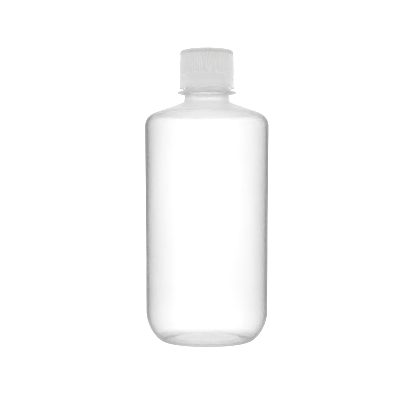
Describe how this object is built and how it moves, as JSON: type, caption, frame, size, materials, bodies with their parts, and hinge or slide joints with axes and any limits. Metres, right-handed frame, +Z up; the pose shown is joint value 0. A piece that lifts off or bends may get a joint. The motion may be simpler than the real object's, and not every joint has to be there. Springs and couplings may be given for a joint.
{
  "type": "narrow-mouth laboratory bottle with screw cap",
  "caption": "Translucent plastic laboratory bottle with a round body, narrow flanged neck and a ribbed screw cap that unscrews and lifts off its thread.",
  "frame": {"origin": "centre of the base, on the plane the bottle stands on", "axes": "+Z up along the bottle's axis, towards the mouth and cap; X and Y across the round body"},
  "size_m": [0.092, 0.092, 0.2169],
  "materials": {
    "bottle_plastic": "translucent natural plastic, satin blown surface",
    "cap_plastic": "translucent natural plastic, satin moulded surface",
    "liner_foam": "white foamed plastic sheet, matt"
  },
  "bodies": {
    "bottle": {"bottle": "bottle_plastic"},
    "liner": {"cap_liner": "liner_foam"},
    "cap": {"screw_cap": "cap_plastic"}
  },
  "joints": [
    {"name": "cap_lift", "type": "slide", "parent": "bottle", "child": "liner", "axis": [0, 0, 1], "range_m": [0, 0.0297]},
    {"name": "cap_turn", "type": "hinge", "parent": "liner", "child": "cap", "pos_m": [0, 0, 0.2], "axis": [0, 0, 1], "range_deg": [0, 2520]}
  ],
  "couplings": [
    {"joint": "cap_lift", "follows": "cap_turn", "m_per_rad": 0.00067322}
  ]
}
